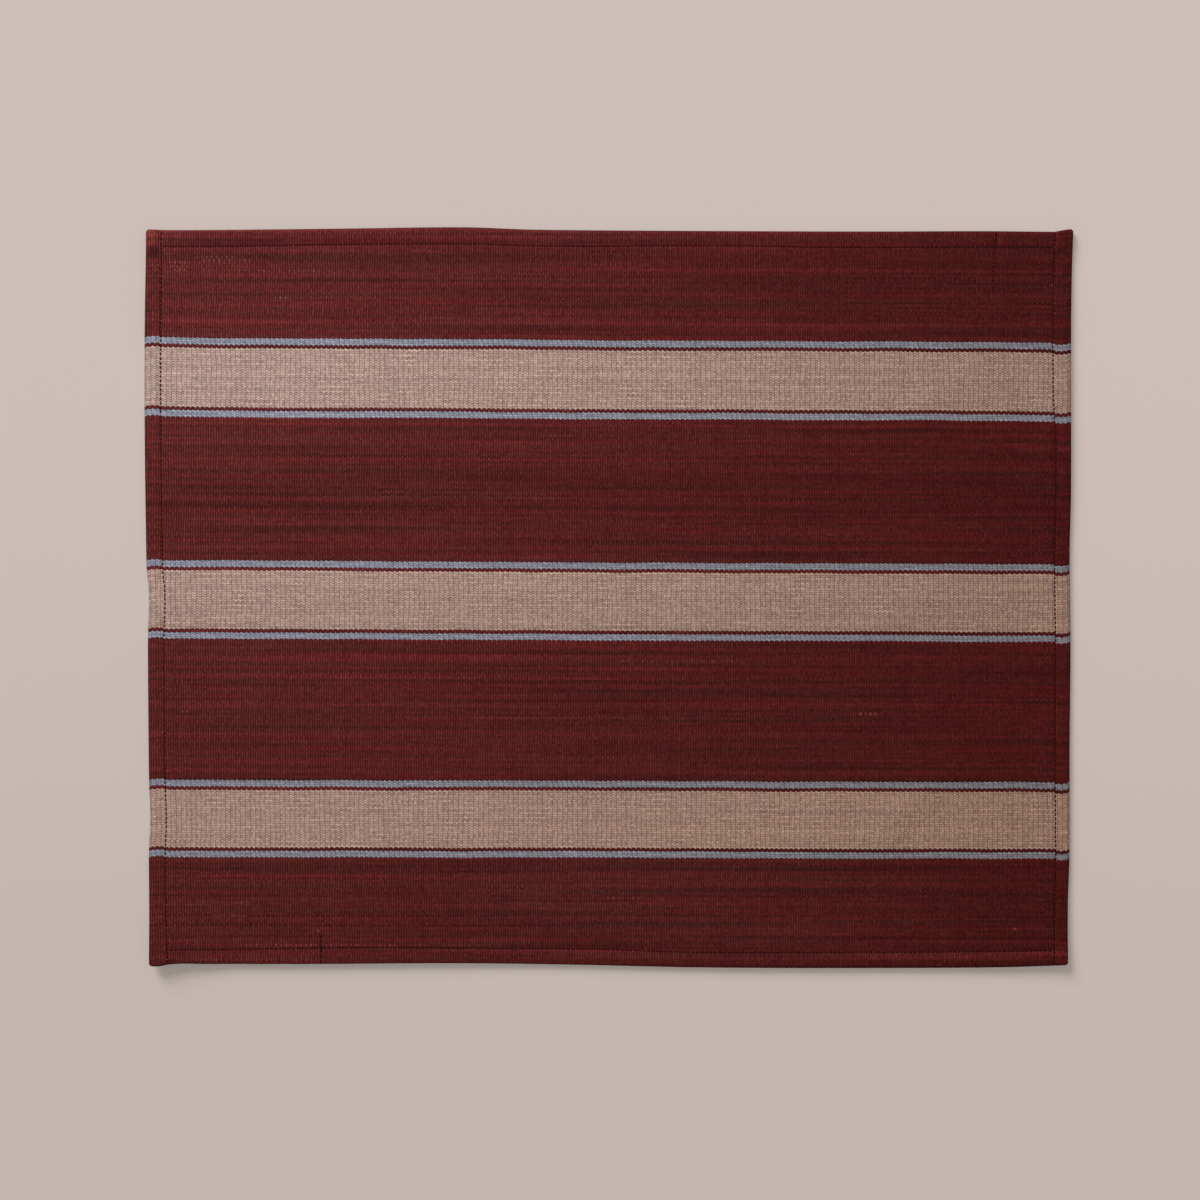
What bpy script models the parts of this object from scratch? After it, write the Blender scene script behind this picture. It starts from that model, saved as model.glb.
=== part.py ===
# Striped placemat of thick plain-woven cotton, lying face up on a table.
# It is one piece of cloth: all four edges are turned twice to the back and sewn down.
# Metres. +X runs right along the stripes, +Y runs up the face, +Z stands up from the table.
# The origin is on the table, under the middle of the mat's outline.
import math

import bmesh
import bpy

# Driving dimensions
WIDTH = 0.5000  # nominal, left edge to right edge
DEPTH = 0.3984  # nominal, lower edge to upper edge
CLOTH = 0.0011  # one layer of cloth
HEM_WIDTH = 0.0092  # outer fold to the turned edge on the back
CORNER_RADIUS = 0.0022
PANEL_STEP = 0.0140  # largest spacing of the mesh between the hems

CLOTH_COLOUR = (0.082, 0.017, 0.015, 1.0)
CLOTH_ROUGHNESS = 0.92

# Section through a hem, from its outer fold inwards, as heights over the table.
# Three layers lie in the hem, and beside it the single layer comes down to the table.
# inset, face, back
HEM_SECTION = (
    (0.0000, 0.0020, 0.0010),
    (0.0008, 0.0028, 0.0000),
    (0.0040, 0.0031, 0.0000),
    (0.0070, 0.0028, 0.0000),
    (0.0082, 0.0022, 0.0000),  # groove that the stitching pulls in
    (0.0092, 0.0025, 0.0000),
    (0.0096, 0.0025, 0.0014),  # turned edge on the back
    (0.0130, 0.0022, 0.0011),
    (0.0180, 0.0016, 0.0005),
    (0.0260, 0.0011, 0.0000),
)

# How far each edge stands out past the nominal rectangle, along its length.
# share of the length (left to right, lower to upper), outward
UPPER_EDGE = (
    (0.00, 0.0002),
    (0.03, -0.0001),
    (0.20, 0.0007),
    (0.34, 0.0015),
    (0.42, 0.0002),
    (0.56, -0.0004),
    (0.78, -0.0008),
    (0.97, -0.0006),
    (1.00, 0.0003),
)
LOWER_EDGE = (
    (0.00, -0.0008),
    (0.17, -0.0007),
    (0.33, -0.0011),
    (0.46, -0.0003),
    (0.60, 0.0012),
    (0.80, 0.0015),
    (0.93, 0.0010),
    (1.00, -0.0003),
)
LEFT_EDGE = (
    (0.00, -0.0013),
    (0.14, -0.0006),
    (0.27, -0.0008),
    (0.43, -0.0002),
    (0.56, 0.0008),
    (0.74, 0.0017),
    (0.88, 0.0016),
    (1.00, 0.0007),
)
RIGHT_EDGE = (
    (0.00, -0.0012),
    (0.08, -0.0010),
    (0.15, -0.0001),
    (0.30, 0.0000),
    (0.43, 0.0005),
    (0.56, 0.0000),
    (0.64, 0.0007),
    (0.88, 0.0008),
    (1.00, 0.0018),
)

# Where the cloth stands off the table: raised corners and edges, and soft ripples.
# centre x, centre y, half length, half width, turn in degrees, height
RISES = (
    (-0.249, -0.199, 0.052, 0.040, 20, 0.0028),  # lower left corner
    (0.249, -0.199, 0.080, 0.050, -30, 0.0016),  # lower right corner
    (0.250, 0.100, 0.090, 0.030, 90, 0.0008),  # right edge
    (-0.070, 0.064, 0.075, 0.020, 14, 0.0006),  # ripple between the upper stripes
    (-0.167, 0.075, 0.045, 0.018, 15, 0.0005),
    (0.175, 0.075, 0.080, 0.024, 58, 0.0006),
    (-0.110, -0.055, 0.060, 0.020, 6, 0.0004),  # ripple between the lower stripes
)


def along(stations, share):
    """Value at a share of the length, on a smooth curve through the stations."""
    last = len(stations) - 1
    start = max(i for i in range(last) if stations[i][0] <= share)
    end = start + 1
    before, after = max(start - 1, 0), min(end + 1, last)
    span = stations[end][0] - stations[start][0]
    t = (share - stations[start][0]) / span
    v0, v1 = stations[start][1], stations[end][1]
    slope0 = (v1 - stations[before][1]) / (stations[end][0] - stations[before][0]) * span
    slope1 = (stations[after][1] - v0) / (stations[after][0] - stations[start][0]) * span
    rise = v1 - v0
    square = t**2 * (3 * rise - 2 * slope0 - slope1)
    cube = t**3 * (slope0 + slope1 - 2 * rise)
    return v0 + t * slope0 + square + cube


def hem_height(inset, column):
    """Height of the hem section's face (column 1) or back (column 2) at an inset."""
    for near, far in zip(HEM_SECTION, HEM_SECTION[1:]):
        if inset <= far[0]:
            share = (inset - near[0]) / (far[0] - near[0])
            return near[column] + share * (far[column] - near[column])
    return HEM_SECTION[-1][column]


def face_height(inset_x, inset_y):
    """Two hems that cross at a corner pile up, but pressed, so less than their sum."""
    extra_x = hem_height(inset_x, 1) - CLOTH
    extra_y = hem_height(inset_y, 1) - CLOTH
    return CLOTH + math.hypot(extra_x, extra_y)


def back_height(inset_x, inset_y):
    """The hems lie on the table, and the panel inside them comes down to it."""
    heights = [hem_height(inset, 2) for inset in (inset_x, inset_y)]
    if min(inset_x, inset_y) > HEM_WIDTH:
        return max(heights)
    return max(h for h, inset in zip(heights, (inset_x, inset_y)) if inset <= HEM_WIDTH)


def rise_at(x, y):
    """How far the cloth stands off the table at a place."""
    total = 0.0
    for centre_x, centre_y, half_length, half_width, turn, height in RISES:
        angle = math.radians(turn)
        dx, dy = x - centre_x, y - centre_y
        u = (dx * math.cos(angle) + dy * math.sin(angle)) / half_length
        v = (dy * math.cos(angle) - dx * math.sin(angle)) / half_width
        total += height * max(0.0, 1 - u * u - v * v) ** 2
    return total


def stations_across(size):
    """Places of the mesh lines along a side, close together in the hems."""
    insets = [row[0] for row in HEM_SECTION]
    inner = size / 2 - insets[-1]
    count = math.ceil(2 * inner / PANEL_STEP)
    left = [inset - size / 2 for inset in insets]
    middle = [-inner + 2 * inner * i / count for i in range(1, count)]
    return left + middle + [-x for x in reversed(left)]


def rounded(x, y):
    """Draws the square corners of the rectangle in to a radius, sliding what lies near them."""
    flat_x, flat_y = WIDTH / 2 - CORNER_RADIUS, DEPTH / 2 - CORNER_RADIUS
    over_x = max(0.0, abs(x) - flat_x) / CORNER_RADIUS
    over_y = max(0.0, abs(y) - flat_y) / CORNER_RADIUS
    round_x = over_x * math.sqrt(1 - over_y**2 / 2) * CORNER_RADIUS
    round_y = over_y * math.sqrt(1 - over_x**2 / 2) * CORNER_RADIUS
    new_x = math.copysign(min(abs(x), flat_x) + round_x, x)
    new_y = math.copysign(min(abs(y), flat_y) + round_y, y)
    return new_x, new_y


def on_outline(x, y):
    """Moves a place of the plain rectangle to where it lies in the real, uneven outline."""
    share_x = min(1.0, max(0.0, x / WIDTH + 0.5))
    share_y = min(1.0, max(0.0, y / DEPTH + 0.5))
    left = -along(LEFT_EDGE, share_y) * (1 - share_x)
    right = along(RIGHT_EDGE, share_y) * share_x
    lower = -along(LOWER_EDGE, share_x) * (1 - share_y)
    upper = along(UPPER_EDGE, share_x) * share_y
    return x + left + right, y + lower + upper


def shape_layer(verts, columns, rows, height_of):
    """Lays one face of the cloth, still a unit grid, in its place and at its height."""
    for vert in verts:
        flat_x = columns[round((vert.co.x + 0.5) * (len(columns) - 1))]
        flat_y = rows[round((vert.co.y + 0.5) * (len(rows) - 1))]
        inset_x, inset_y = WIDTH / 2 - abs(flat_x), DEPTH / 2 - abs(flat_y)
        x, y = on_outline(*rounded(flat_x, flat_y))
        vert.co = (x, y, height_of(inset_x, inset_y) + rise_at(x, y))


def centre_outline(mesh):
    """Puts the origin under the middle of the outline."""
    xs = [vert.co.x for vert in mesh.verts]
    ys = [vert.co.y for vert in mesh.verts]
    middle = ((min(xs) + max(xs)) / 2, (min(ys) + max(ys)) / 2, 0.0)
    bmesh.ops.translate(mesh, verts=mesh.verts, vec=[-value for value in middle])


def cloth_material():
    material = bpy.data.materials.new("cloth")
    material.use_nodes = True
    surface = material.node_tree.nodes["Principled BSDF"]
    surface.inputs["Base Color"].default_value = CLOTH_COLOUR
    surface.inputs["Roughness"].default_value = CLOTH_ROUGHNESS
    surface.inputs["Metallic"].default_value = 0.0
    return material


def make_cloth():
    columns, rows = stations_across(WIDTH), stations_across(DEPTH)
    mesh = bmesh.new()
    bmesh.ops.create_grid(mesh, x_segments=len(columns) - 1, y_segments=len(rows) - 1, size=0.5)
    face_verts = list(mesh.verts)
    copied = bmesh.ops.duplicate(mesh, geom=mesh.verts[:] + mesh.edges[:] + mesh.faces[:])["geom"]
    back_verts = [item for item in copied if isinstance(item, bmesh.types.BMVert)]
    back_faces = [item for item in copied if isinstance(item, bmesh.types.BMFace)]
    bmesh.ops.reverse_faces(mesh, faces=back_faces)
    shape_layer(face_verts, columns, rows, face_height)
    shape_layer(back_verts, columns, rows, back_height)
    rim = [edge for edge in mesh.edges if edge.is_boundary]
    bmesh.ops.bridge_loops(mesh, edges=rim)
    bmesh.ops.recalc_face_normals(mesh, faces=mesh.faces)
    centre_outline(mesh)
    data = bpy.data.meshes.new("cloth")
    mesh.to_mesh(data)
    mesh.free()
    data.shade_smooth()
    data.materials.append(cloth_material())
    cloth = bpy.data.objects.new("cloth", data)
    bpy.context.collection.objects.link(cloth)
    return cloth


def main():
    for old in list(bpy.data.objects):
        bpy.data.objects.remove(old)
    make_cloth()


main()
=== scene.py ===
import functools
import math
import random

import bmesh
import bpy
from mathutils import Matrix, Vector, noise


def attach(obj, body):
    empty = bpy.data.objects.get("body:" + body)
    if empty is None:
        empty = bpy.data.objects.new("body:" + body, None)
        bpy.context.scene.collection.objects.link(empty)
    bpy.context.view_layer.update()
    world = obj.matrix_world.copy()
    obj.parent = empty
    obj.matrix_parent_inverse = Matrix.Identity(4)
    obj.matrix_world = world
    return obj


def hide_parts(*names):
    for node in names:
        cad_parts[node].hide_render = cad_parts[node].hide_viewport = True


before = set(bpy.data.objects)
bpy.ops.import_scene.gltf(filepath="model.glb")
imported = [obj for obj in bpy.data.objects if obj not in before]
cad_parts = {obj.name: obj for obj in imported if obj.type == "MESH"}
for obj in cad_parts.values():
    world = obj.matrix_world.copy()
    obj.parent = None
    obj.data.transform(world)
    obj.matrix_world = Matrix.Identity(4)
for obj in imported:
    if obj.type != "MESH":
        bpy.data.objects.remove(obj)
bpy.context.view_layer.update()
print("frame loaded")


studio = {
    "middle": (-0.0045, -0.0013),  # what the camera looks straight down at
    "frameWidth": 0.6504,  # what it takes in, side to side
    "faceHeight": 0.0015,  # at this height
    "lens": 100.0,
    "sensor": 36.0,
    "keyPlace": (-0.34, 0.36, 0.76),  # soft box at the upper left, for the mat
    "keySize": 0.35,
    "keyPower": 6.3,
    "keyColour": (1.0, 1.0, 1.02),
    "roomColour": (1.0, 0.66, 0.44),
    "roomStrength": 0.26,
    "sunPlace": (-0.92, 1.45, 1.0),  # where the table's light comes from
    "sunAngle": 31.0,  # softness of the mat's shadow on the table, in degrees
    "sunStrength": 2.31,
    "sunColour": (1.0, 0.90, 0.87),
    "fillStrength": 1.08,  # light on the table that casts no shadow
    "fillColour": (0.858, 0.973, 1.0),
}


def addCamera():
    data = bpy.data.cameras.new("camera")
    data.lens = studio["lens"]
    data.sensor_width = studio["sensor"]
    camera = bpy.data.objects.new("camera", data)
    height = studio["frameWidth"] * studio["lens"] / studio["sensor"]
    camera.location = (*studio["middle"], height + studio["faceHeight"])
    bpy.context.collection.objects.link(camera)
    bpy.context.scene.camera = camera
    bpy.context.scene.view_settings.view_transform = "Standard"


def addSun(name, strength, colour):
    data = bpy.data.lights.new(name, "SUN")
    data.energy = strength
    data.color = colour
    sun = bpy.data.objects.new(name, data)
    bpy.context.collection.objects.link(sun)
    return sun


def addSoftBox():
    data = bpy.data.lights.new("soft box", "AREA")
    data.shape = "SQUARE"
    data.size = studio["keySize"]
    data.energy = studio["keyPower"]
    data.color = studio["keyColour"]
    box = bpy.data.objects.new("soft box", data)
    box.location = studio["keyPlace"]
    box.rotation_euler = (-Vector(studio["keyPlace"])).to_track_quat("-Z", "Y").to_euler()
    bpy.context.collection.objects.link(box)
    return box


def addRoom():
    world = bpy.data.worlds.new("room")
    world.use_nodes = True
    room = world.node_tree.nodes["Background"]
    room.inputs["Color"].default_value = (*studio["roomColour"], 1.0)
    room.inputs["Strength"].default_value = studio["roomStrength"]
    bpy.context.scene.world = world


# The mat and the table have lights of their own: each lamp lights only what is in its collection.
def addLights():
    key = addSoftBox()
    sun = addSun("table light", studio["sunStrength"], studio["sunColour"])
    sun.data.angle = math.radians(studio["sunAngle"])
    sun.rotation_euler = Vector(studio["sunPlace"]).to_track_quat("Z", "Y").to_euler()
    fill = addSun("table fill", studio["fillStrength"], studio["fillColour"])
    fill.data.use_shadow = False
    addRoom()
    forMat = bpy.data.collections.new("lit by the soft box")
    forTable = bpy.data.collections.new("lit by the table lights")
    key.light_linking.receiver_collection = forMat
    sun.light_linking.receiver_collection = forTable
    fill.light_linking.receiver_collection = forTable
    return forMat, forTable


addCamera()
litByKey, litByTable = addLights()
print("camera and lights made")


# A socket of a material, so that shader maths can be written as an expression.
class Wire:
    def __init__(self, graph, socket):
        self.graph = graph
        self.socket = socket

    def __add__(self, other):
        return self.graph.maths("ADD", self, other)

    def __sub__(self, other):
        return self.graph.maths("SUBTRACT", self, other)

    def __rsub__(self, other):
        return self.graph.maths("SUBTRACT", other, self)

    def __mul__(self, other):
        return self.graph.maths("MULTIPLY", self, other)

    def __truediv__(self, other):
        return self.graph.maths("DIVIDE", self, other)

    def __gt__(self, other):
        return self.graph.maths("GREATER_THAN", self, other)

    def __abs__(self):
        return self.graph.maths("ABSOLUTE", self)

    __radd__ = __add__
    __rmul__ = __mul__


class Graph:
    def __init__(self, name, roughness, specular):
        self.material = bpy.data.materials.new(name)
        self.material.use_nodes = True
        self.tree = self.material.node_tree
        self.surface = self.tree.nodes["Principled BSDF"]
        self.surface.inputs["Roughness"].default_value = roughness
        self.surface.inputs["Specular IOR Level"].default_value = specular

    def node(self, kind, settings, values, out=0):
        made = self.tree.nodes.new(kind)
        for name, value in settings.items():
            if name == "stops":
                self.setStops(made.color_ramp, value)
            else:
                setattr(made, name, value)
        for name, value in values.items():
            self.feed(made.inputs[name], value)
        return Wire(self, made.outputs[out])

    def feed(self, socket, value):
        if isinstance(value, Wire):
            self.tree.links.new(value.socket, socket)
        else:
            socket.default_value = value

    def setStops(self, ramp, stops):
        ramp.interpolation = "CONSTANT"
        ramp.elements.remove(ramp.elements[-1])
        for place, colour in stops[1:]:
            ramp.elements.new(place).color = rgba(colour)
        ramp.elements[0].position = stops[0][0]
        ramp.elements[0].color = rgba(stops[0][1])

    def maths(self, operation, *values):
        return self.node("ShaderNodeMath", {"operation": operation}, dict(enumerate(values)))

    def clamped(self, value):
        settings = {"operation": "MULTIPLY", "use_clamp": True}
        return self.node("ShaderNodeMath", settings, {0: value, 1: 1.0})

    def between(self, value, low, high):  # 0 below low, 1 above high
        return self.clamped((value - low) / (high - low))

    def evenOdd(self, number):  # 1 where the number is even, -1 where it is odd
        half = number * 0.5
        return 1 - (half - self.maths("FLOOR", half)) * 4

    def mixed(self, share, first, second):
        values = {"Factor": share, 6: first, 7: second}
        return self.node("ShaderNodeMix", {"data_type": "RGBA"}, values, out=2)

    def tinted(self, colour, amount):
        values = {0: colour, "Scale": amount}
        return self.node("ShaderNodeVectorMath", {"operation": "SCALE"}, values)

    def vectors(self, operation, first, second):
        values = {0: first, 1: second}
        return self.node("ShaderNodeVectorMath", {"operation": operation}, values)

    def vector(self, x, y, z=0.0):
        return self.node("ShaderNodeCombineXYZ", {}, {0: x, 1: y, 2: z})

    def parts(self, vector):
        split = self.node("ShaderNodeSeparateXYZ", {}, {0: vector})
        return [Wire(self, socket) for socket in split.socket.node.outputs]

    def uvMap(self, name):
        return self.node("ShaderNodeUVMap", {"uv_map": name}, {})

    def cloud(self, vector, scale, detail):
        values = {"Vector": vector, "Scale": scale, "Detail": detail}
        return self.node("ShaderNodeTexNoise", {"noise_dimensions": "2D"}, values)

    def chance(self, *numbers):  # 0 to 1 at random, the same wherever the numbers are the same
        if len(numbers) == 1:
            return self.node("ShaderNodeTexWhiteNoise", {"noise_dimensions": "1D"}, {"W": numbers[0]})
        return self.node("ShaderNodeTexWhiteNoise", {}, {"Vector": self.vector(*numbers)})

    def stray(self, amount, *numbers):  # up or down at random, by half the amount at most
        return (self.chance(*numbers) - 0.5) * amount


def rgba(colour):
    return (*colour, 1.0)


mat = {
    "width": 0.5000,
    "depth": 0.3984,
    "cornerRadius": 0.0015,
    "cloth": 0.0011,  # one layer
    "seam": 0.0082,  # outer fold to the stitching
    "hem": 0.0092,  # outer fold to the turned edge on the back
    "turnedTop": 0.0096,  # outer fold to where the panel meets that edge
    "turnedLength": 0.00145,  # length of cloth up that edge
    "fold": 0.0026,  # inset where the face begins to turn down over the outer fold
    "groove": (0.0067, 0.0110),  # insets between which the stitching pulls the face in
    "step": 0.0024,  # mesh spacing between the hems
    "flat": (0.535, 0.434),  # cut size, before hemming
    "ripples": ((0.034, 0.00016), (0.011, 0.00003)),  # soft unevenness: size, height
    "rippleSquash": 1.5,  # how much shorter it is up the mat than along the stripes
    "rippleSlice": 0.3,  # which slice of the noise it is
}

# Section through a hem from its outer fold inwards: inset, face, back.
hemSection = (
    (0.00000, 0.00172, 0.00122),
    (0.00012, 0.00218, 0.00090),
    (0.00040, 0.00262, 0.00048),
    (0.00085, 0.00294, 0.00014),
    (0.00150, 0.00310, 0.00001),
    (0.00260, 0.00316, 0.00000),
    (0.00400, 0.00308, 0.00000),
    (0.00540, 0.00291, 0.00000),
    (0.00670, 0.00268, 0.00000),
    (0.00745, 0.00246, 0.00004),
    (0.00785, 0.00220, 0.00016),
    (0.00820, 0.00200, 0.00030),  # groove that the stitching pulls in
    (0.00860, 0.00214, 0.00016),
    (0.00920, 0.00226, 0.00000),
    (0.00960, 0.00231, 0.00138),  # turned edge on the back
    (0.01100, 0.00231, 0.00124),
    (0.01300, 0.00212, 0.00104),
    (0.01550, 0.00184, 0.00076),
    (0.01800, 0.00158, 0.00050),
    (0.02200, 0.00124, 0.00014),
    (0.02600, 0.00110, 0.00000),
)

# How far each edge stands out past the plain rectangle: share of its length, outward.
upperEdge = (
    (0.00, 0.0002),
    (0.03, -0.0001),
    (0.20, 0.0007),
    (0.34, 0.0015),
    (0.42, 0.0002),
    (0.56, -0.0004),
    (0.78, -0.0008),
    (0.90, -0.0006),
    (0.965, -0.0009),
    (0.980, -0.0010),
    (0.988, -0.0003),
    (1.00, 0.0005),
)
lowerEdge = (
    (0.00, 0.0001),
    (0.010, 0.0002),
    (0.022, -0.0008),
    (0.035, -0.0011),
    (0.06, -0.0008),
    (0.17, -0.0007),
    (0.33, -0.0011),
    (0.46, -0.0003),
    (0.60, 0.0012),
    (0.80, 0.0015),
    (0.93, 0.0010),
    (1.00, -0.0003),
)
leftEdge = (
    (0.00, -0.0017),
    (0.14, -0.0010),
    (0.17, -0.0013),
    (0.185, -0.0017),
    (0.220, -0.0017),
    (0.235, -0.0013),
    (0.27, -0.0010),
    (0.43, -0.0005),
    (0.465, -0.0007),
    (0.480, -0.0010),
    (0.515, -0.0009),
    (0.530, -0.0001),
    (0.56, 0.0004),
    (0.74, 0.0013),
    (0.88, 0.0012),
    (1.00, 0.0003),
)
rightEdge = (
    (0.00, -0.0012),
    (0.08, -0.0010),
    (0.15, -0.0001),
    (0.30, 0.0000),
    (0.43, 0.0005),
    (0.56, 0.0000),
    (0.64, 0.0007),
    (0.88, 0.0008),
    (1.00, 0.0018),
)

# Where the cloth stands off the table: centre x, y, half length, half width, turn, height.
rises = (
    (-0.249, -0.199, 0.056, 0.040, 20, 0.0031),  # lower left corner
    (-0.150, -0.199, 0.130, 0.030, 0, 0.0006),  # lower edge
    (0.120, -0.199, 0.100, 0.030, 0, 0.0003),
    (0.249, -0.199, 0.120, 0.050, -20, 0.0012),  # lower right corner
    (0.250, 0.100, 0.090, 0.030, 90, 0.0008),  # right edge
    (-0.073, 0.0675, 0.066, 0.013, 19, 0.0010),  # ripples between the upper stripes
    (-0.176, 0.069, 0.036, 0.010, 24, 0.0006),
    (-0.213, 0.052, 0.036, 0.009, 3, 0.0005),
    (0.100, 0.066, 0.040, 0.011, 20, 0.0003),
    (0.150, 0.046, 0.036, 0.010, 22, 0.0004),
    (0.176, 0.106, 0.058, 0.013, 42, 0.0009),  # folds across the right part of the stripes
    (0.203, 0.116, 0.030, 0.009, 50, 0.0003),
    (0.162, -0.004, 0.040, 0.013, 35, 0.0006),
    (0.157, -0.122, 0.042, 0.013, 48, 0.0007),
    (-0.051, -0.001, 0.034, 0.012, 40, 0.0003),
    (-0.110, -0.055, 0.060, 0.020, 6, 0.0004),  # ripple between the lower stripes
)

# How much further in than mat["seam"] the stitching runs: share of the side, distance.
seamDrift = {
    "upper": (
        (0.00, 0.0007),
        (0.10, 0.0008),
        (0.22, 0.0004),
        (0.32, 0.0007),
        (0.48, 0.0005),
        (0.56, -0.0002),
        (0.66, -0.0002),
        (0.74, 0.0005),
        (1.00, 0.0003),
    ),
    "lower": (
        (0.00, -0.0006),
        (0.08, -0.0005),
        (0.14, 0.0000),
        (0.22, 0.0005),
        (0.38, 0.0000),
        (0.48, 0.0004),
        (0.60, 0.0000),
        (0.88, 0.0004),
        (1.00, 0.0000),
    ),
    "left": (
        (0.00, 0.0021),
        (0.03, 0.0014),
        (0.08, 0.0009),
        (0.25, 0.0005),
        (0.88, 0.0004),
        (1.00, 0.0000),
    ),
    "right": (
        (0.00, -0.0007),
        (0.10, -0.0009),
        (0.22, -0.0004),
        (0.45, 0.0000),
        (0.71, 0.0001),
        (0.75, 0.0009),
        (0.79, 0.0015),
        (1.00, 0.0018),
    ),
}
# How much of that drift a place takes part in: inset, share.
driftShare = ((0.0, 0.0), (0.0026, 0.3), (0.0067, 1.0), (0.0110, 1.0), (0.0260, 0.0), (1.0, 0.0))


# Value at a share of the length, on a smooth curve through the stations.
def along(stations, place):
    last = len(stations) - 1
    start = max(i for i in range(last) if stations[i][0] <= place)
    end = start + 1
    before, after = max(start - 1, 0), min(end + 1, last)
    span = stations[end][0] - stations[start][0]
    t = (place - stations[start][0]) / span
    v0, v1 = stations[start][1], stations[end][1]
    slope0 = (v1 - stations[before][1]) / (stations[end][0] - stations[before][0]) * span
    slope1 = (stations[after][1] - v0) / (stations[after][0] - stations[start][0]) * span
    rise = v1 - v0
    square = t**2 * (3 * rise - 2 * slope0 - slope1)
    cube = t**3 * (slope0 + slope1 - 2 * rise)
    return v0 + t * slope0 + square + cube


# Value of a column at a place, on straight lines between the stations.
def straight(stations, place, column=1):
    for near, far in zip(stations, stations[1:]):
        if place <= far[0]:
            part = (place - near[0]) / (far[0] - near[0])
            return near[column] + part * (far[column] - near[column])
    return stations[-1][column]


def insets(x, y):
    return mat["width"] / 2 - abs(x), mat["depth"] / 2 - abs(y)


def share(value, size):
    return min(1.0, max(0.0, value / size + 0.5))


def hemFace(inset, stitched):
    groove = mat["groove"]
    if not stitched and groove[0] < inset < groove[1]:
        ends = [(end, straight(hemSection, end)) for end in groove]
        return straight(ends, inset)
    return straight(hemSection, inset)


# Two hems that cross at a corner pile up, but pressed, so less than their sum.
def faceHeight(insetX, insetY):
    extraX = hemFace(insetX, True) - mat["cloth"]
    extraY = hemFace(insetY, insetX > mat["seam"]) - mat["cloth"]
    return mat["cloth"] + math.hypot(extraX, extraY)


def backHeight(insetX, insetY):
    heights = [straight(hemSection, inset, 2) for inset in (insetX, insetY)]
    if min(insetX, insetY) > mat["hem"]:
        return max(heights)
    return max(h for h, inset in zip(heights, (insetX, insetY)) if inset <= mat["hem"])


def riseAt(x, y):
    total = 0.0
    for centreX, centreY, halfLength, halfWidth, turn, height in rises:
        angle = math.radians(turn)
        dx, dy = x - centreX, y - centreY
        u = (dx * math.cos(angle) + dy * math.sin(angle)) / halfLength
        v = (dy * math.cos(angle) - dx * math.sin(angle)) / halfWidth
        total += height * max(0.0, 1 - u * u - v * v) ** 2
    for size, height in mat["ripples"]:
        place = Vector((x, y * mat["rippleSquash"], mat["rippleSlice"])) / size
        total += height * max(0.0, 0.5 + noise.noise(place))
    return total


# Draws the square corners of the rectangle in to a radius, sliding what lies near them.
def rounded(x, y):
    radius = mat["cornerRadius"]
    flatX, flatY = mat["width"] / 2 - radius, mat["depth"] / 2 - radius
    overX = max(0.0, abs(x) - flatX) / radius
    overY = max(0.0, abs(y) - flatY) / radius
    roundX = overX * math.sqrt(1 - overY**2 / 2) * radius
    roundY = overY * math.sqrt(1 - overX**2 / 2) * radius
    newX = math.copysign(min(abs(x), flatX) + roundX, x)
    newY = math.copysign(min(abs(y), flatY) + roundY, y)
    return newX, newY


# Moves a place of the plain rectangle to where it lies in the real, uneven outline.
def onOutline(x, y):
    shareX, shareY = share(x, mat["width"]), share(y, mat["depth"])
    left = -along(leftEdge, shareY) * (1 - shareX)
    right = along(rightEdge, shareY) * shareX
    lower = -along(lowerEdge, shareX) * (1 - shareY)
    upper = along(upperEdge, shareX) * shareY
    return x + left + right, y + lower + upper


# Moves a place of the plain rectangle beside a seam to where the seam really runs.
def drifted(x, y):
    insetX, insetY = insets(x, y)
    sideX, signX = ("left", -1) if x < 0 else ("right", 1)
    sideY, signY = ("lower", -1) if y < 0 else ("upper", 1)
    driftX = along(seamDrift[sideX], share(y, mat["depth"])) * straight(driftShare, insetX)
    driftY = along(seamDrift[sideY], share(x, mat["width"])) * straight(driftShare, insetY)
    return x - signX * driftX, y - signY * driftY


# Where a place of the plain rectangle lies on the face or the back.
def clothPoint(x, y, heightOf):
    insetX, insetY = insets(x, y)
    placeX, placeY = onOutline(*rounded(*drifted(x, y)))
    return Vector((placeX, placeY, heightOf(insetX, insetY) + riseAt(placeX, placeY)))


# How the yarns are set out. A row is one float along a rib, with two weft yarns to it.
stripes = {
    "pitch": 0.001342,  # from rib to rib, and from row to row
    "ribs": 373,
    "rows": 297,  # counted down from the upper fold
    "blueWefts": 6,
    "lineWefts": 2,
    "creamWefts": 48,
    "narrowing": 0.0004,  # how much less deep a group of stripes is at the right
    "shift": {"left": 0.0006, "right": -0.0009},  # how far up the side hems carry the stripes
    "shiftWave": (0.85, -0.05),  # half waves of that from edge to seam, and where they start
    # Groups of stripes: first row, depth at the left, and the line of the group's upper edge
    # as share of the mat's width and height there.
    "groups": (
        (
            44,
            0.0428,
            (
                (0.00, 0.1410),
                (0.16, 0.1404),
                (0.38, 0.1399),
                (0.49, 0.1394),
                (0.92, 0.1384),
                (1.00, 0.1377),
            ),
        ),
        (
            133,
            0.0423,
            (
                (0.00, 0.0203),
                (0.16, 0.0199),
                (0.49, 0.0189),
                (0.70, 0.0185),
                (1.00, 0.0179),
            ),
        ),
        (
            222,
            0.0417,
            (
                (0.00, -0.0987),
                (0.16, -0.0991),
                (0.49, -0.0994),
                (0.70, -0.0999),
                (1.00, -0.1001),
            ),
        ),
    ),
}
groupWefts = 2 * (stripes["blueWefts"] + stripes["lineWefts"]) + stripes["creamWefts"]
groupRows = groupWefts // 2
firstRow = stripes["groups"][0][0]
rowsApart = stripes["groups"][1][0] - firstRow  # from group to group


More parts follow.
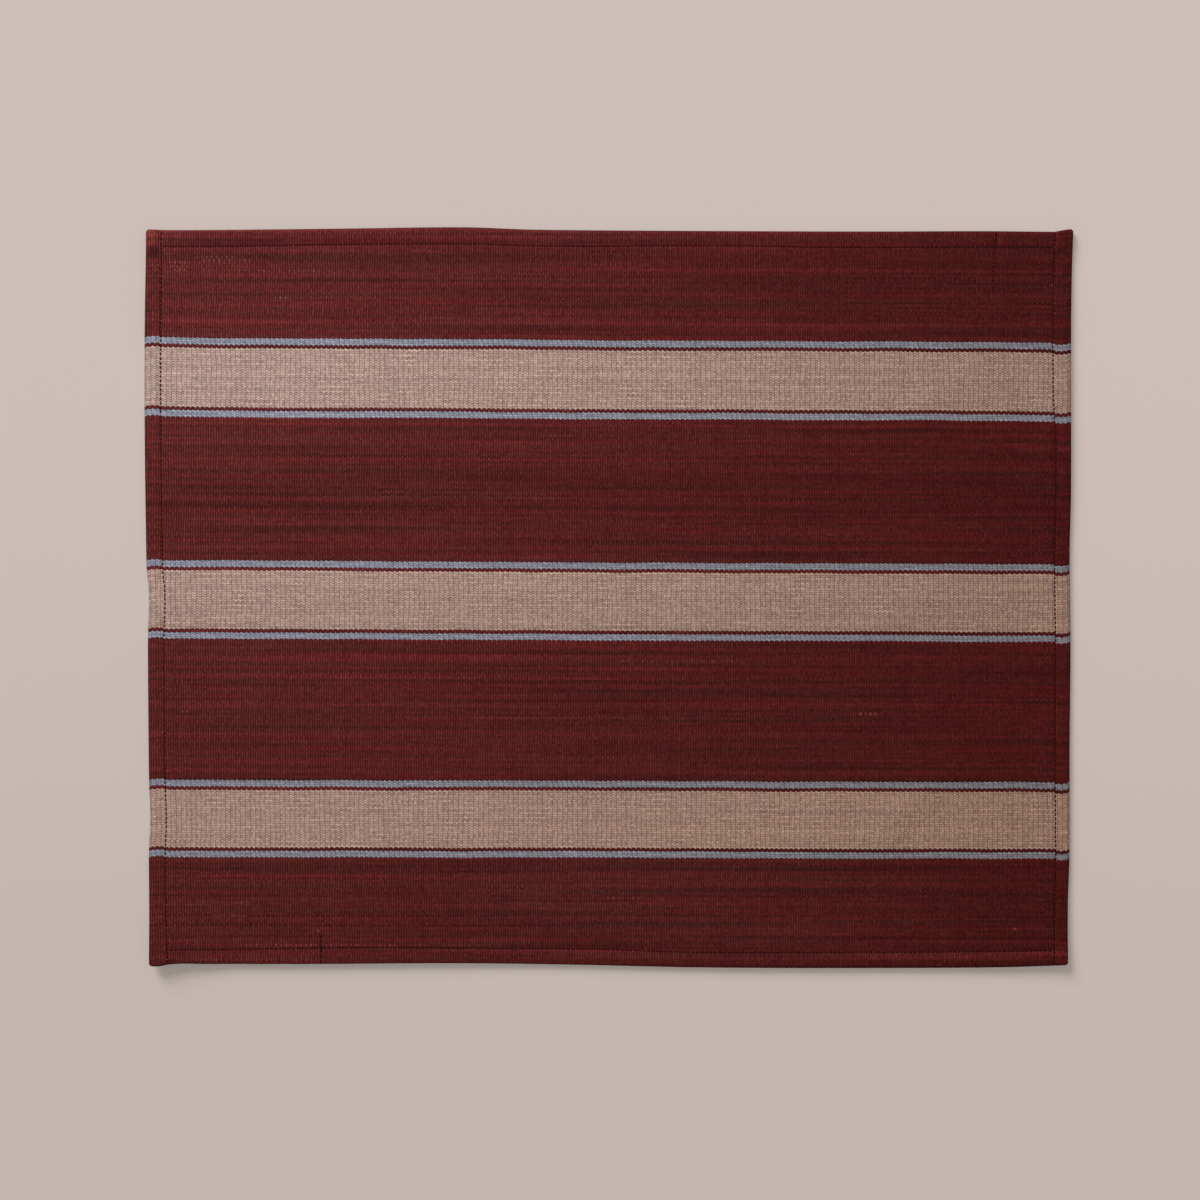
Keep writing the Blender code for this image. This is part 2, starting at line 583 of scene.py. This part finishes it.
# Heights up the mat and the rows there, from the lower edge up, at a share of the width.
@functools.cache
def weftLines(across):
    lines = []
    for first, depth, line in stripes["groups"]:
        top = along(line, across)
        bottom = top - depth + stripes["narrowing"] * across
        lines += [(first, top), (first + groupRows, bottom)]
    above = lines[0][0] * stripes["pitch"]
    below = (stripes["rows"] - lines[-1][0]) * stripes["pitch"]
    lines = [(0, lines[0][1] + above)] + lines
    lines.append((stripes["rows"], lines[-1][1] - below))
    return [(height, row) for row, height in reversed(lines)]


def hemShift(x):
    inset = mat["width"] / 2 - abs(x)
    if inset > mat["seam"]:
        return 0.0
    halfWaves, start = stripes["shiftWave"]
    wave = math.sin(math.pi * (halfWaves * inset / mat["seam"] + start))
    return wave * stripes["shift"]["left" if x < 0 else "right"]


# Length of cloth along the section's face (column 1) or back (2), from the fold in.
@functools.cache
def pathLength(column, inset):
    length = 0.0
    for near, far in zip(hemSection, hemSection[1:]):
        part = min(1.0, max(0.0, (inset - near[0]) / (far[0] - near[0])))
        length += part * math.hypot(far[0] - near[0], far[column] - near[column])
    return length


# How far outside its place the cloth at an inset would lie if the folds were opened flat.
@functools.cache
def overhang(inset, layer):
    turned = pathLength(1, mat["fold"]) - mat["fold"]
    if layer == "face":
        return turned - pathLength(1, inset) + inset if inset < mat["fold"] else 0.0
    if layer == "hem":
        rim = hemSection[0][1] - hemSection[0][2]
        return turned + rim + pathLength(2, inset) + inset
    return mat["turnedLength"] - (mat["turnedTop"] - inset) if inset < mat["turnedTop"] else 0.0


# Ribs and rows counted to a place, right and down, over the folds as on the flat.
def yarnCount(flat, place, layers):
    out = [overhang(inset, layer) for inset, layer in zip(insets(*flat), layers)]
    x = place.x + math.copysign(out[0], flat[0])
    y = place.y + math.copysign(out[1], flat[1]) - hemShift(flat[0])
    lines = weftLines(share(flat[0], mat["width"]))
    low, high = lines[0], lines[-1]
    if y <= low[0]:
        row = low[1] + (low[0] - y) / stripes["pitch"]
    elif y >= high[0]:
        row = high[1] - (y - high[0]) / stripes["pitch"]
    else:
        row = straight(lines, y)
    return x / stripes["pitch"] + stripes["ribs"] / 2, row


# Painted light and shade, and the dye's unevenness: tints that the cloth's colour is multiplied by.
wear = {
    "creaseShade": {  # painted shade in the creases along the seams, strongest on the upper and left seams
        "upper": (0.60, 0.52, 0.58),
        "left": (0.78, 0.70, 0.75),
        "right": (0.98, 0.90, 0.94),
        "lower": (0.98, 0.90, 0.94),
    },
    "creaseShadeWidth": 0.00045,
    "rimLight": {  # painted light and shade on the outermost threads along an edge: a painted highlight on the upper fold, a bluish painted reflection on the shaded right and lower rims: tint, width
        "lower": ((0.95, 0.88, 1.15), 0.00050),
        "right": ((1.25, 1.60, 2.10), 0.00180),
        "upper": ((2.10, 2.00, 2.45), 0.00180),
    },
    # Spots of painted light and shade, and of uneven dye: centre x, y, half width, half height, tint.
    "spots": (
        (-0.2478, 0.1950, 0.0036, 0.0048, (1.50, 1.50, 1.25)),  # upper left corner: painted highlight, then painted shade below it
        (-0.2455, 0.1881, 0.0032, 0.0044, (0.55, 0.52, 0.62)),
        (-0.2463, 0.1754, 0.0034, 0.0016, (0.66, 0.64, 0.70)),
        (0.2424, 0.1938, 0.0024, 0.0040, (1.30, 1.25, 1.25)),  # upper right corner: painted highlight
        (0.2103, 0.1944, 0.0022, 0.0042, (1.35, 1.30, 1.30)),  # painted highlight beside the row of stitches there, then painted shade along it and below the crease
        (0.2083, 0.1915, 0.0014, 0.0085, (0.72, 0.66, 0.72)),
        (0.2448, 0.1884, 0.0030, 0.0019, (0.60, 0.58, 0.62)),
        (-0.2446, -0.1986, 0.0040, 0.0010, (0.60, 0.70, 1.25)),  # painted shade on the lifted lower left corner's edge
        (0.0900, -0.1926, 0.2100, 0.0024, (1.32, 1.40, 1.40)),  # painted highlight on the hem outside the lower seam
        (0.1850, -0.1923, 0.0900, 0.0020, (1.22, 1.30, 1.30)),
        (-0.1500, 0.1870, 0.1150, 0.0100, (0.88, 0.88, 0.88)),  # painted shade on the upper left hem, where it slopes away from the light
        (-0.2100, 0.1928, 0.0360, 0.0028, (0.82, 0.78, 0.82)),
        (0.1150, 0.1770, 0.0950, 0.0140, (0.92, 0.92, 0.92)),  # unevenness of the dye
        (0.0000, 0.0550, 0.3600, 0.0180, (0.91, 0.90, 0.89)),
        (-0.1900, 0.0440, 0.0700, 0.0180, (0.93, 0.92, 0.92)),
        (0.0500, -0.1600, 0.1500, 0.0300, (1.05, 1.24, 1.24)),
        (-0.1600, -0.1760, 0.1000, 0.0100, (0.93, 0.94, 0.94)),
        (0.0000, -0.0083, 0.3600, 0.0098, (0.72, 0.71, 0.71)),  # darker band in the middle cream
        (0.2451, -0.1916, 0.0034, 0.0042, (1.25, 1.20, 1.20)),  # painted highlight on the lower right corner's hem
    ),
}


# Tint of the cloth at a place of the plain rectangle: painted light and shade, with the dye's
# unevenness.
def paintedLightAndDyeAt(x, y):
    insetX, insetY = insets(x, y)
    sideX = "left" if x < 0 else "right"
    sideY = "lower" if y < 0 else "upper"
    tints = []
    # painted shade along the seams' creases
    if insetX > mat["seam"]:
        tints.append((wear["creaseShade"][sideY], 1 - abs(insetY - mat["seam"]) / wear["creaseShadeWidth"]))
    tints.append((wear["creaseShade"][sideX], 1 - abs(insetX - mat["seam"]) / wear["creaseShadeWidth"]))
    # painted highlight and reflection on the rims
    for side, inset in ((sideY, insetY), (sideX, insetX)):
        if side in wear["rimLight"]:
            tint, width = wear["rimLight"][side]
            tints.append((tint, 1 - inset / width))
    for spotX, spotY, halfX, halfY, tint in wear["spots"]:
        off = ((x - spotX) / halfX) ** 2 + ((y - spotY) / halfY) ** 2
        tints.append((tint, 2 * (1 - off)))
    total = [1.0, 1.0, 1.0]
    for tint, strength in tints:
        strength = min(1.0, max(0.0, strength))
        total = [part * (1 + (value - 1) * strength) for part, value in zip(total, tint)]
    return rgba(total)


def only(kind, items):
    return [item for item in items if isinstance(item, kind)]


def stationsAcross(size):
    sides = [row[0] for row in hemSection]
    inner = size / 2 - sides[-1]
    count = math.ceil(2 * inner / mat["step"])
    low = [inset - size / 2 for inset in sides]
    middle = [-inner + 2 * inner * i / count for i in range(1, count)]
    return low + middle + [-x for x in reversed(low)]


# The face and the back are grids with the same outline, joined along the outer fold.
def makeCloth():
    columns, rows = stationsAcross(mat["width"]), stationsAcross(mat["depth"])
    bm = bmesh.new()
    # a colour attribute of painted light and shade, with uneven dye
    paintedLightAndDyeMap = bm.verts.layers.float_color.new("wear")
    bmesh.ops.create_grid(bm, x_segments=len(columns) - 1, y_segments=len(rows) - 1, size=0.5)
    faceVerts = list(bm.verts)
    copied = bmesh.ops.duplicate(bm, geom=bm.verts[:] + bm.edges[:] + bm.faces[:])["geom"]
    backVerts = only(bmesh.types.BMVert, copied)
    bmesh.ops.reverse_faces(bm, faces=only(bmesh.types.BMFace, copied))
    flatPlaces = {}
    for verts, heightOf in ((faceVerts, faceHeight), (backVerts, backHeight)):
        for vert in verts:
            x = columns[round((vert.co.x + 0.5) * (len(columns) - 1))]
            y = rows[round((vert.co.y + 0.5) * (len(rows) - 1))]
            vert.co = clothPoint(x, y, heightOf)
            flatPlaces[vert] = (x, y)
    rim = [edge for edge in bm.edges if edge.is_boundary]
    bmesh.ops.bridge_loops(bm, edges=rim)
    bmesh.ops.recalc_face_normals(bm, faces=bm.faces)
    for vert, flat in flatPlaces.items():
        vert[paintedLightAndDyeMap] = paintedLightAndDyeAt(*flat)
    mapCloth(bm, flatPlaces, set(backVerts))
    return bm


# Two UV maps: the count of yarns, and the place on the plain rectangle.
def mapCloth(bm, flatPlaces, onBack):
    weaveMap = bm.loops.layers.uv.new("weave")
    placeMap = bm.loops.layers.uv.new("place")
    for face in bm.faces:
        face.smooth = True
        corners = [flatPlaces[vert] for vert in face.verts]
        middle = [sum(abs(corner[i]) for corner in corners) / len(corners) for i in (0, 1)]
        behind = ["hem" if inset < mat["hem"] else "panel" for inset in insets(*middle)]
        for loop in face.loops:
            layers = behind if loop.vert in onBack else ["face", "face"]
            loop[weaveMap].uv = yarnCount(flatPlaces[loop.vert], loop.vert.co, layers)
            loop[placeMap].uv = flatPlaces[loop.vert]


def addPiece(bm, name, material):
    data = bpy.data.meshes.new(name)
    bm.to_mesh(data)
    bm.free()
    data.materials.append(material)
    piece = bpy.data.objects.new(name, data)
    bpy.context.collection.objects.link(piece)
    litByKey.objects.link(piece)
    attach(piece, "root")
    return piece


weave = {
    "maroon": (0.105, 0.0091, 0.0096),
    "oxblood": (0.068, 0.0099, 0.0086),  # what the maroon weft strays to
    "cream": (0.510, 0.391, 0.352),
    "blue": (0.290, 0.340, 0.440),
    "warp": (0.150, 0.048, 0.042),
    "roughness": 0.9,
    "specular": 0.1,
    "relief": 0.00022,  # height of the ribs
    "ribRelief": 0.45,  # share of it from rib to gap, and from float to float
    "floatRelief": 0.35,
    # Course of the yarns, in pitches.
    "wander": 1.6,
    "wanderUp": 0.4,  # share of it that there is along the ribs
    "wanderScale": 0.045,
    "stagger": 0.20,  # how far up or down a rib's floats lie
    "jitter": 0.18,
    "lineRows": 1.42,  # thickness of the maroon lines
    # Painted shade between the yarns: the maroon's, then how much more the cream and blue have.
    "ribShade": 0.22,
    "paleRibShade": 0.05,
    "gapShade": 0.34,  # between two floats of a rib
    "paleGapShade": 0.10,
    "reed": 0.25,  # how much darker every second gap between ribs is painted
    "paleReed": 0.66,
    "rust": 0.30,  # how far the cream and blue take the warp's colour between ribs
    "warpShown": 0.8,  # and how far any weft does between two floats, in patches
    "patchScale": 0.11,
    "patchCloud": 1.1,
    "patchChance": 0.8,
    # Unevenness of tone.
    "floatStray": 0.42,
    "paleFloatStray": -0.06,
    "ribStray": 0.05,
    "weftStray": 0.22,
    "rowStray": 0.20,
    "paleCalm": 0.4,  # how much less of the last two the cream and blue have
    "pairing": 0.35,  # how much every second float differs in places
    "palePairing": 0.6,
    "pairScale": 0.09,
    "slubs": 1.0,
    "slubLength": 0.009,
    "slubTurn": 0.415,  # how unlike each other the slubs of two neighbouring yarns are
    "paleSlubCalm": 0.65,
    "hueScale": 0.7,
    # Nap and painted sheen: paler fibres on top of the ribs, with a painted sheen on them that is
    # strongest towards the soft box at the upper left, least of it at the right edge and at the
    # bottom.
    "napAndSheen": (0.054, 0.020, 0.019),
    "napAndSheenRight": 0.12,
    "napAndSheenLow": 0.7,
    "paintedWarmCast": (1.0, 0.910, 0.780),  # painted warm cast, slightly darker, that the cream is tinted to at the lower right, away from the soft box
    "paintedLightHeight": 0.20,  # from the middle to where the painted sheen and warm cast stop changing, up and down
    "palePaintedLightCalm": 0.75,  # how much less the painted light and shade and the uneven dye show on the cream and blue
    "slub": (0.27, 0.072, 0.058),  # colour of the few pale yarns
    # Where they show: weft number down from the upper fold, ribs from and to, strength.
    "paleYarns": (
        (16, 106, 118, 0.4),
        (22, 19, 34, 0.45),
        (25, 22, 41, 0.45),
        (27, 9, 34, 0.35),
        (33, 2, 4, 0.8),
        (33, 7, 15, 0.6),
        (33, 22, 74, 0.45),
        (41, 365, 365, 1.3),
        (54, 52, 59, 0.5),
        (152, 34, 62, 0.3),
        (214, 65, 167, 0.25),
        (346, 191, 240, 0.3),
        (388, 14, 95, 0.2),
        (388, 288, 294, 1.0),
        (422, 138, 158, 0.3),
        (540, 185, 208, 0.3),
        (544, 20, 42, 0.35),
        (555, 27, 39, 1.0),
        (564, 349, 351, 0.9),
        (567, 66, 70, 1.0),
        (578, 38, 143, 0.3),
        (590, 6, 70, 0.3),
    ),
}


# The maroon lines are of thicker yarn, which pushes the blue together.
def thickLines(graph, v):
    halfGroup = groupRows / 2
    fromMiddle = graph.maths("FLOORED_MODULO", v - firstRow, rowsApart) - halfGroup
    t = abs(fromMiddle)
    lineStart = stripes["creamWefts"] / 4  # rows from the group's middle
    lineEnd = lineStart + weave["lineRows"]
    inBlue = (t - lineEnd) / (halfGroup - lineEnd)
    inLine = (lineEnd - t) / weave["lineRows"]
    push = graph.clamped(1 - graph.maths("MAXIMUM", inBlue, inLine)) * (weave["lineRows"] - 1)
    return v - graph.maths("SIGN", fromMiddle) * push


# Plain weave with the weft beaten so close that it hides the warp: each weft yarn floats over
# every second rib, and the next one over the ribs between, half a float further down.
def plainWeave(graph, u, v):
    rib = graph.maths("FLOOR", u)
    crown = graph.maths("COSINE", (u - rib - 0.5) * math.pi)  # 1 on top of a rib, 0 between two
    side = graph.evenOdd(rib)
    down = v + side * crown * weave["stagger"]
    border = graph.maths("FLOOR", down + 0.5)
    row = border - 1 + (down > border + graph.stray(weave["jitter"], border, side))
    inFloat = (down - row) * 2 - 1  # -1 to 1 along the rib
    weft = row * 2 + (1 - side) * 0.5  # number of the weft yarn, counted down
    return rib, crown, row, inFloat * inFloat, weft


def stripeStops():
    blue, line, cream = stripes["blueWefts"], stripes["lineWefts"], stripes["creamWefts"]
    starts = [0]
    for count in (blue, line, cream, line, blue):
        starts.append(starts[-1] + count)
    colours = ("blue", "maroon", "cream", "maroon", "blue", "maroon")
    return [(start / groupWefts, weave[colour]) for start, colour in zip(starts, colours)]


# Each weft yarn's own colour, and some of them paler for a stretch.
def dyed(graph, striped, pale, rib, weft, slubPlace):
    hue = graph.between(graph.cloud(slubPlace, weave["hueScale"], 2.0), 0.35, 0.65)
    colour = graph.mixed(hue * (1 - pale), striped, rgba(weave["oxblood"]))
    patchy = graph.chance(rib, weft, 5) * 0.9 + 0.3
    slub = 0.0
    for number, start, end, strength in weave["paleYarns"]:
        inYarn = graph.maths("COMPARE", weft, number, 0.1)
        inStretch = graph.maths("COMPARE", rib, (start + end) / 2, (end - start) / 2)
        slub = inYarn * inStretch * strength * patchy + slub
    return graph.mixed(slub, colour, rgba(weave["slub"]))


# Yarns, rows, floats and ribs differ in depth of colour.
def unevenTone(graph, pale, rib, row, weft, count, slubPlace):
    calm = 1 - pale * weave["paleCalm"]
    slubs = (graph.cloud(slubPlace, 1.0, 4.0) - 0.5) * weave["slubs"]
    tone = 1 + slubs * (1 - pale * weave["paleSlubCalm"])
    tone = tone + graph.stray(weave["weftStray"], weft) * calm
    tone = tone + graph.stray(weave["rowStray"], row) * calm
    floatStray = pale * weave["paleFloatStray"] + weave["floatStray"]
    tone = tone * (1 + graph.stray(floatStray, row, rib))
    tone = tone * (1 + graph.stray(weave["ribStray"], rib))
    paired = (graph.cloud(count, weave["pairScale"], 1.0) - 0.5) * weave["pairing"]
    return tone * (1 + graph.evenOdd(row) * paired * (1 + pale * weave["palePairing"]))


# Nap with painted sheen, a painted warm cast, and painted light and shade with uneven dye, which
# follow the place on the mat.
def finished(graph, cloth, pale, cream, crown, tone):
    placeX, placeY, _ = graph.parts(graph.uvMap("place"))
    # painted sheen: more of it towards the upper left, where the soft box is
    fromRight = graph.between(placeX, mat["width"] / 2, -mat["width"] / 2)
    fromBottom = graph.between(placeY, -weave["paintedLightHeight"], weave["paintedLightHeight"])
    upNapAndSheen = fromBottom * (1 - weave["napAndSheenLow"]) + weave["napAndSheenLow"]
    napAndSheenShare = weave["napAndSheenRight"] + fromRight * upNapAndSheen * (1 - weave["napAndSheenRight"])
    napAndSheen = graph.tinted(weave["napAndSheen"], crown * crown * napAndSheenShare * tone * (1 - pale))
    cloth = graph.vectors("ADD", cloth, napAndSheen)
    # painted warm cast on the cream towards the lower right
    noWarmCast = graph.clamped(fromRight * 0.5 + fromBottom * 0.5 + (1 - pale) + (1 - cream) * 0.3)
    white = rgba((1, 1, 1))
    cloth = graph.vectors("MULTIPLY", cloth, graph.mixed(noWarmCast, rgba(weave["paintedWarmCast"]), white))
    # painted light and shade, with uneven dye, read from the mesh
    paintedLightAndDyeTint = graph.node("ShaderNodeAttribute", {"attribute_name": "wear"}, {})
    return graph.vectors("MULTIPLY", cloth, graph.mixed(pale * weave["palePaintedLightCalm"], paintedLightAndDyeTint, white))


def wovenCotton():
    graph = Graph("woven cotton", weave["roughness"], weave["specular"])
    count = graph.uvMap("weave")
    u, v, _ = graph.parts(count)
    wander = (graph.cloud(count, weave["wanderScale"], 2.0) - 0.5) * weave["wander"]
    u = u + wander
    v = thickLines(graph, v - wander * weave["wanderUp"])
    rib, crown, row, edge, weft = plainWeave(graph, u, v)

    inGroup = graph.maths("FLOORED_MODULO", weft - 2 * firstRow, 2 * rowsApart)
    place = (inGroup + 0.5) / groupWefts
    striped = graph.node("ShaderNodeValToRGB", {"stops": stripeStops()}, {0: place})
    red, green, _ = graph.parts(striped)
    pale = graph.between(green, 0.02, 0.30)  # 0 on the maroon, 1 on the cream and blue
    cream = graph.between(red, 0.30, 0.50)  # 1 on the cream alone
    slubPlace = graph.vector(u * weave["slubLength"], weft * weave["slubTurn"])
    colour = dyed(graph, striped, pale, rib, weft, slubPlace)
    tone = unevenTone(graph, pale, rib, row, weft, count, slubPlace)

    betweenRibs = graph.maths("FLOOR", u + 0.5)
    reedDepth = pale * weave["paleReed"] * graph.chance(betweenRibs, row, 7) + weave["reed"]
    groove = (1 - crown) * (1 - crown) * (graph.evenOdd(betweenRibs) * reedDepth + 1)
    ribShade = pale * weave["paleRibShade"] + weave["ribShade"]
    gapShade = pale * weave["paleGapShade"] + weave["gapShade"]
    # painted shade in the grooves between ribs and the gaps between floats
    tone = tone * (1 - groove * ribShade) * (1 - edge * edge * gapShade)
    patches = graph.cloud(count, weave["patchScale"], 2.0) * weave["patchCloud"] - 0.5
    patches = patches + graph.chance(row, rib, 3) * weave["patchChance"]
    gap = graph.between(crown, 0.40, 0.85) * graph.between(edge, 0.25, 0.85)
    inGap = gap * graph.between(patches, 0.0, 0.8) * weave["warpShown"]
    warpShown = graph.maths("MAXIMUM", inGap, groove * pale * weave["rust"])
    cloth = graph.tinted(graph.mixed(warpShown, colour, rgba(weave["warp"])), tone)

    graph.feed(graph.surface.inputs["Base Color"], finished(graph, cloth, pale, cream, crown, tone))
    top = crown * weave["ribRelief"] + (1 - edge) * weave["floatRelief"]
    bump = {"Strength": 1.0, "Distance": weave["relief"], "Height": top}
    graph.feed(graph.surface.inputs["Normal"], graph.node("ShaderNodeBump", {}, bump))
    return graph.material


cloth = addPiece(makeCloth(), "placemat_cloth", wovenCotton())
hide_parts("cloth")
print("cloth woven and hemmed")


thread = {
    "pitch": 0.00242,  # from stitch to stitch
    "length": 0.00195,
    "width": 0.00092,
    "height": 0.00044,
    "dip": 0.00016,  # how far the ends go down into the cloth
    "stray": 0.00006,
    "lie": 0.4,  # share of its length, each way, over which a stitch takes the cloth's slope
    "faceLift": 0.35,  # how far it stands out of the cloth, in heights
    "backLift": 0.10,
    "colour": (0.033, 0.0042, 0.0066),
    "roughness": 0.9,
    "specular": 0.1,
    "endInset": 0.0008,  # outer fold to the last stitch of the side seams
    "endGap": 0.0012,  # side seam to the first stitch of the upper and lower seams
    "shortRows": (  # where a hem's turned end is caught: x, from y, to y, size of the stitches
        (0.2083, 0.1984, 0.1908, 1.2),
        (0.2076, 0.1884, 0.1740, 0.75),
        (-0.1568, -0.1988, -0.1835, 1.15),
    ),
    "knots": (  # x, y, radius
        (0.2073, 0.1729, 0.00055),
        (0.2076, 0.1688, 0.00055),
        (-0.2450, 0.1754, 0.00045),
        (-0.2413, -0.1972, 0.00050),
    ),
    "knotLift": 0.3,  # in radii
    # Thread ends over the lower edge: x, lean to the right.
    "looseEnds": ((-0.2396, -0.0008), (-0.2389, 0.0012), (-0.1570, 0.0002), (0.1995, 0.0016)),
    "looseWidth": 0.00042,
    "looseThinning": 0.85,  # from point to point
    "looseFrom": 0.0030,  # inset where the end comes out of the cloth
    "looseEdge": 0.0004,  # inset where it turns down
    "looseDrop": 0.0011,  # how far past the edge the tip lies
    "looseTip": 0.0004,  # the tip's height over the table
}


def stitchTemplate(bm):
    made = bmesh.ops.create_uvsphere(bm, u_segments=6, v_segments=6, radius=0.5)["verts"]
    bmesh.ops.rotate(bm, verts=made, matrix=Matrix.Rotation(math.pi / 2, 3, "Y"))
    bmesh.ops.scale(bm, verts=made, vec=(thread["length"], thread["width"], thread["height"]))
    for vert in made:
        vert.co.z -= thread["dip"] * (2 * vert.co.x / thread["length"]) ** 2
    return bm.verts[:] + bm.faces[:]  # nothing else is in it yet


# A row of stitches between two places of the plain rectangle, on the face or the back.
def sewRow(bm, template, start, end, heightOf, side, size=1.0):
    start, end = Vector(start), Vector(end)
    count = max(1, round((end - start).length / thread["pitch"]))
    reach = (end - start).normalized() * thread["length"] * thread["lie"]
    lift = thread["height"] * thread["faceLift" if side > 0 else "backLift"]
    for i in range(count):
        middle = start.lerp(end, (i + 0.5) / count)
        middle += Vector((random.uniform(-1, 1), random.uniform(-1, 1))) * thread["stray"]
        tail = clothPoint(*(middle - reach), heightOf)
        tip = clothPoint(*(middle + reach), heightOf)
        ahead = (tip - tail).normalized()
        across = Vector((0, 0, side)).cross(ahead).normalized()
        up = ahead.cross(across)
        turned = Matrix((ahead, across, up)).transposed().to_4x4()
        centre = clothPoint(*middle, heightOf) + up * lift
        place = Matrix.Translation(centre) @ turned @ Matrix.Scale(size, 4)
        copied = bmesh.ops.duplicate(bm, geom=template)["geom"]
        bmesh.ops.transform(bm, matrix=place, verts=only(bmesh.types.BMVert, copied))


# A loose end of thread along a few points, thinning to its tip.
def strand(bm, points):
    radius = thread["looseWidth"] / 2
    ring = bmesh.ops.create_circle(bm, cap_ends=True, segments=6, radius=radius)["verts"]
    ahead = (points[1] - points[0]).to_track_quat("Z", "Y")
    bmesh.ops.rotate(bm, verts=ring, matrix=ahead.to_matrix())
    bmesh.ops.translate(bm, verts=ring, vec=points[0])
    end = next(face for face in ring[0].link_faces)
    for near, far in zip(points, points[1:]):
        grown = bmesh.ops.extrude_face_region(bm, geom=[end])["geom"]
        bmesh.ops.delete(bm, geom=[end], context="FACES_ONLY")
        end = only(bmesh.types.BMFace, grown)[0]
        bmesh.ops.translate(bm, verts=end.verts, vec=far - near)
        thinner = [thread["looseThinning"]] * 3
        bmesh.ops.scale(bm, verts=end.verts, vec=thinner, space=Matrix.Translation(-far))


def knot(bm, x, y, radius):
    centre = clothPoint(x, y, faceHeight) + Vector((0, 0, radius * thread["knotLift"]))
    place = Matrix.Translation(centre)
    bmesh.ops.create_icosphere(bm, subdivisions=1, radius=radius, matrix=place)


# A thread end that comes out of a seam and hangs over the lower edge to the table.
def looseEnd(bm, x, lean):
    low = -mat["depth"] / 2
    top = clothPoint(x, low + thread["looseFrom"], faceHeight) + Vector((0, 0, 0.0001))
    edge = clothPoint(x + lean * 0.4, low + thread["looseEdge"], faceHeight)
    edge += Vector((0, -0.0001, 0.0002))
    tip = Vector((x + lean, edge.y - thread["looseDrop"], thread["looseTip"]))
    strand(bm, [top, top.lerp(edge, 0.6), edge, edge.lerp(tip, 0.5), tip])


def makeSeams(heightOf, side):
    bm = bmesh.new()
    template = stitchTemplate(bm)
    seamX = mat["width"] / 2 - mat["seam"]
    seamY = mat["depth"] / 2 - mat["seam"]
    endX = seamX - thread["endGap"]
    endY = mat["depth"] / 2 - thread["endInset"]
    for x in (-seamX, seamX):
        sewRow(bm, template, (x, -endY), (x, endY), heightOf, side)
    for y in (-seamY, seamY):
        sewRow(bm, template, (-endX, y), (endX, y), heightOf, side)
    for x, fromY, toY, size in thread["shortRows"] if side > 0 else ():
        sewRow(bm, template, (x, fromY), (x, toY), heightOf, side, size)
    bmesh.ops.delete(bm, geom=only(bmesh.types.BMVert, template))
    if side > 0:
        for x, y, radius in thread["knots"]:
            knot(bm, x, y, radius)
        for x, lean in thread["looseEnds"]:
            looseEnd(bm, x, lean)
        bmesh.ops.recalc_face_normals(bm, faces=bm.faces)
    for face in bm.faces:
        face.smooth = True
    return bm


def threadMaterial():
    graph = Graph("sewing thread", thread["roughness"], thread["specular"])
    graph.surface.inputs["Base Color"].default_value = rgba(thread["colour"])
    return graph.material


random.seed(4)
threadLook = threadMaterial()
faceSeams = addPiece(makeSeams(faceHeight, 1), "face_stitches", threadLook)
backSeams = addPiece(makeSeams(backHeight, -1), "back_stitches", threadLook)
print("hems sewn")


tableTop = {
    "size": 3.0,
    "drop": 0.0001,  # gap under the mat
    "near": (0.597, 0.565, 0.551),  # colour below the mat
    "far": (0.660, 0.614, 0.608),  # and above it
    "nearY": -0.165,
    "farY": 0.16,
    "change": 1.7,  # above 1 it changes late
}


# The table's colour darkens from above the mat to below it: painted shade, as the light falls off
# towards the near side.
def paleTable():
    graph = Graph("pale table", 1.0, 0.0)
    _, y, _ = graph.parts(graph.node("ShaderNodeTexCoord", {}, {}, out="Object"))
    towardsNear = graph.between(y, tableTop["farY"], tableTop["nearY"])
    nearShare = graph.maths("POWER", towardsNear, tableTop["change"])
    colour = graph.mixed(nearShare, rgba(tableTop["far"]), rgba(tableTop["near"]))
    graph.feed(graph.surface.inputs["Base Color"], colour)
    return graph.material


def addTable():
    bm = bmesh.new()
    bmesh.ops.create_grid(bm, x_segments=1, y_segments=1, size=tableTop["size"])
    bmesh.ops.translate(bm, verts=bm.verts, vec=(0, 0, -tableTop["drop"]))
    data = bpy.data.meshes.new("table")
    bm.to_mesh(data)
    bm.free()
    data.materials.append(paleTable())
    table = bpy.data.objects.new("table", data)
    bpy.context.collection.objects.link(table)
    litByTable.objects.link(table)


addTable()
print("table laid")
